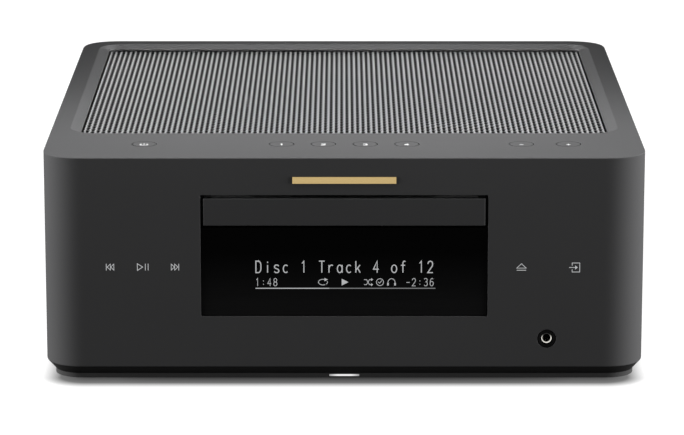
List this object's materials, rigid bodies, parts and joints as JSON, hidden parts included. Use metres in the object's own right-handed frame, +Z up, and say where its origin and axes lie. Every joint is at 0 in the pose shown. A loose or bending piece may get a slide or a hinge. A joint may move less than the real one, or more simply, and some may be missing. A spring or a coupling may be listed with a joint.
{
  "type": "mini hi-fi system",
  "caption": "compact disc receiver with a motor drawn disc tray, a wide display, round top buttons, a slotted metal grille and speaker terminals on the back",
  "frame": {"origin": "centre of the footprint, on the floor under the feet", "axes": "+X to the right seen from the front, +Y to the back, +Z up"},
  "size_m": [0.28, 0.3122, 0.111],
  "materials": {
    "body": "fine matt dark grey",
    "grille_metal": "satin anodised",
    "plinth": "matt black",
    "light_guide": "clear white light guide",
    "foot_rubber": "matt",
    "screw_steel": "black zinc",
    "gold_plate": "brushed gold",
    "window_black": "high gloss black",
    "inner_plastic": "moulded black",
    "display_glass": "dark display glass",
    "circuit_board": "green solder mask",
    "socket_plastic": "black",
    "nickel": "bright nickel",
    "button_plastic": "fine matt dark grey",
    "switch_plastic": "black",
    "tray_plastic": "fine grain black",
    "sheet_steel": "zinc plated sheet",
    "motor_steel": "drawn steel can",
    "white_acetal": "natural acetal",
    "belt_rubber": "matt",
    "puck_plastic": "black",
    "turntable_plastic": "dark grey",
    "pickup_alloy": "die cast",
    "lens_glass": "coated lens",
    "polished_rod": "ground steel",
    "transformer_winding": "yellow tape over a ferrite core",
    "capacitor_sleeve": "dark blue sleeve",
    "sink_alloy": "black anodised",
    "panel_steel": "satin black",
    "contact_gold": "gold plated",
    "cap_red": "red",
    "cap_black": "black",
    "socket_shield": "tin plated"
  },
  "bodies": {
    "cabinet": {"cabinet_shell": "body", "top_grille": "grille_metal", "base_pan": "plinth", "light_bar": "light_guide", "feet": "foot_rubber", "base_screws": "screw_steel", "nameplate": "gold_plate", "display_window": "window_black", "front_subframe": "inner_plastic", "display_module": "display_glass", "display_board": "circuit_board", "touch_boards": "circuit_board", "headphone_jack": "socket_plastic", "jack_sleeve": "nickel", "key_board": "circuit_board", "key_switches": "switch_plastic", "loader_chassis": "inner_plastic", "loader_brackets": "sheet_steel", "loader_motor": "motor_steel", "drive_belt": "belt_rubber", "clamp_bridge": "sheet_steel", "main_board": "circuit_board", "power_board": "circuit_board", "transformer": "transformer_winding", "power_capacitors": "capacitor_sleeve", "amp_board": "circuit_board", "heat_sink": "sink_alloy", "rear_panel": "panel_steel", "panel_screws": "screw_steel", "ac_inlet": "socket_plastic", "terminal_block": "socket_plastic", "terminal_posts": "contact_gold", "line_sockets": "contact_gold", "lan_socket": "socket_shield"},
    "tray": {"tray_front": "body", "disc_tray": "tray_plastic"},
    "drive_wheel": {"drive_gear": "white_acetal"},
    "pulley_wheel": {"pulley_gear": "white_acetal"},
    "motor_wheel": {"motor_pulley": "white_acetal"},
    "cam": {"cam_slider": "white_acetal"},
    "traverse": {"traverse_frame": "inner_plastic", "spindle_motor": "motor_steel", "guide_rods": "polished_rod", "sled_motor": "motor_steel"},
    "platter": {"turntable": "turntable_plastic"},
    "sled": {"pickup_sled": "pickup_alloy", "pickup_lens": "lens_glass"},
    "screw": {"sled_leadscrew": "polished_rod"},
    "puck": {"clamp_puck": "puck_plastic"},
    "power_button": {"power_button": "button_plastic"},
    "preset_button_1": {"preset_button_1": "button_plastic"},
    "preset_button_2": {"preset_button_2": "button_plastic"},
    "preset_button_3": {"preset_button_3": "button_plastic"},
    "preset_button_4": {"preset_button_4": "button_plastic"},
    "volume_down_button": {"volume_down_button": "button_plastic"},
    "volume_up_button": {"volume_up_button": "button_plastic"},
    "post_cap_1": {"post_cap_1": "cap_red"},
    "post_cap_2": {"post_cap_2": "cap_black"},
    "post_cap_3": {"post_cap_3": "cap_red"},
    "post_cap_4": {"post_cap_4": "cap_black"}
  },
  "joints": [
    {"name": "tray_slide", "type": "slide", "parent": "cabinet", "child": "tray", "axis": [0, -1, 0], "range_m": [0, 0.13]},
    {"name": "drive_gear_spin", "type": "hinge", "parent": "cabinet", "child": "drive_wheel", "pos_m": [-0.043, -0.12585, 0.0804], "axis": [0, 0, 1], "range_deg": [0, 640]},
    {"name": "pulley_gear_spin", "type": "hinge", "parent": "cabinet", "child": "pulley_wheel", "pos_m": [-0.025, -0.12585, 0.078], "axis": [0, 0, 1], "range_deg": [-1280, 0]},
    {"name": "motor_pulley_spin", "type": "hinge", "parent": "cabinet", "child": "motor_wheel", "pos_m": [0.014, -0.13385, 0.075], "axis": [0, 0, 1], "range_deg": [-5100, 0]},
    {"name": "traverse_lift", "type": "hinge", "parent": "cabinet", "child": "traverse", "pos_m": [0, 0.03915, 0.065], "axis": [1, 0, 0], "range_deg": [0, 3.2]},
    {"name": "cam_slide", "type": "slide", "parent": "cabinet", "child": "cam", "axis": [1, 0, 0], "range_m": [0, 0.0202]},
    {"name": "turntable_spin", "type": "hinge", "parent": "traverse", "child": "platter", "pos_m": [0, -0.08735, 0.084], "axis": [0, 0, 1], "continuous": true},
    {"name": "puck_spin", "type": "hinge", "parent": "cabinet", "child": "puck", "pos_m": [0, -0.08735, 0.09], "axis": [0, 0, 1], "continuous": true},
    {"name": "sled_slide", "type": "slide", "parent": "traverse", "child": "sled", "axis": [0, 1, 0], "range_m": [0, 0.035]},
    {"name": "leadscrew_spin", "type": "hinge", "parent": "traverse", "child": "screw", "pos_m": [0.028, -0.04085, 0.0745], "axis": [0, 1, 0], "range_deg": [0, 4400]},
    {"name": "power_press", "type": "slide", "parent": "cabinet", "child": "power_button", "axis": [0, 0, -1], "range_m": [0, 0.0008], "stiffness_N_per_m": 800, "springref_m": -0.001},
    {"name": "preset_1_press", "type": "slide", "parent": "cabinet", "child": "preset_button_1", "axis": [0, 0, -1], "range_m": [0, 0.0008], "stiffness_N_per_m": 800, "springref_m": -0.001},
    {"name": "preset_2_press", "type": "slide", "parent": "cabinet", "child": "preset_button_2", "axis": [0, 0, -1], "range_m": [0, 0.0008], "stiffness_N_per_m": 800, "springref_m": -0.001},
    {"name": "preset_3_press", "type": "slide", "parent": "cabinet", "child": "preset_button_3", "axis": [0, 0, -1], "range_m": [0, 0.0008], "stiffness_N_per_m": 800, "springref_m": -0.001},
    {"name": "preset_4_press", "type": "slide", "parent": "cabinet", "child": "preset_button_4", "axis": [0, 0, -1], "range_m": [0, 0.0008], "stiffness_N_per_m": 800, "springref_m": -0.001},
    {"name": "volume_down_press", "type": "slide", "parent": "cabinet", "child": "volume_down_button", "axis": [0, 0, -1], "range_m": [0, 0.0008], "stiffness_N_per_m": 800, "springref_m": -0.001},
    {"name": "volume_up_press", "type": "slide", "parent": "cabinet", "child": "volume_up_button", "axis": [0, 0, -1], "range_m": [0, 0.0008], "stiffness_N_per_m": 800, "springref_m": -0.001},
    {"name": "post_cap_1_turn", "type": "hinge", "parent": "cabinet", "child": "post_cap_1", "pos_m": [0.055, 0.15015, 0.0352], "axis": [0, 1, 0], "range_deg": [0, 720]},
    {"name": "post_cap_2_turn", "type": "hinge", "parent": "cabinet", "child": "post_cap_2", "pos_m": [0.077, 0.15015, 0.0352], "axis": [0, 1, 0], "range_deg": [0, 720]},
    {"name": "post_cap_3_turn", "type": "hinge", "parent": "cabinet", "child": "post_cap_3", "pos_m": [0.055, 0.15015, 0.0572], "axis": [0, 1, 0], "range_deg": [0, 720]},
    {"name": "post_cap_4_turn", "type": "hinge", "parent": "cabinet", "child": "post_cap_4", "pos_m": [0.077, 0.15015, 0.0572], "axis": [0, 1, 0], "range_deg": [0, 720]}
  ],
  "couplings": [
    {"joint": "drive_gear_spin", "follows": "tray_slide", "rad_per_m": 83.333},
    {"joint": "pulley_gear_spin", "follows": "tray_slide", "rad_per_m": -166.67},
    {"joint": "motor_pulley_spin", "follows": "tray_slide", "rad_per_m": -666.67},
    {"joint": "cam_slide", "follows": "traverse_lift", "m_per_rad": 0.3581},
    {"joint": "puck_spin", "follows": "turntable_spin", "ratio": 1},
    {"joint": "leadscrew_spin", "follows": "sled_slide", "rad_per_m": 2094.4}
  ]
}
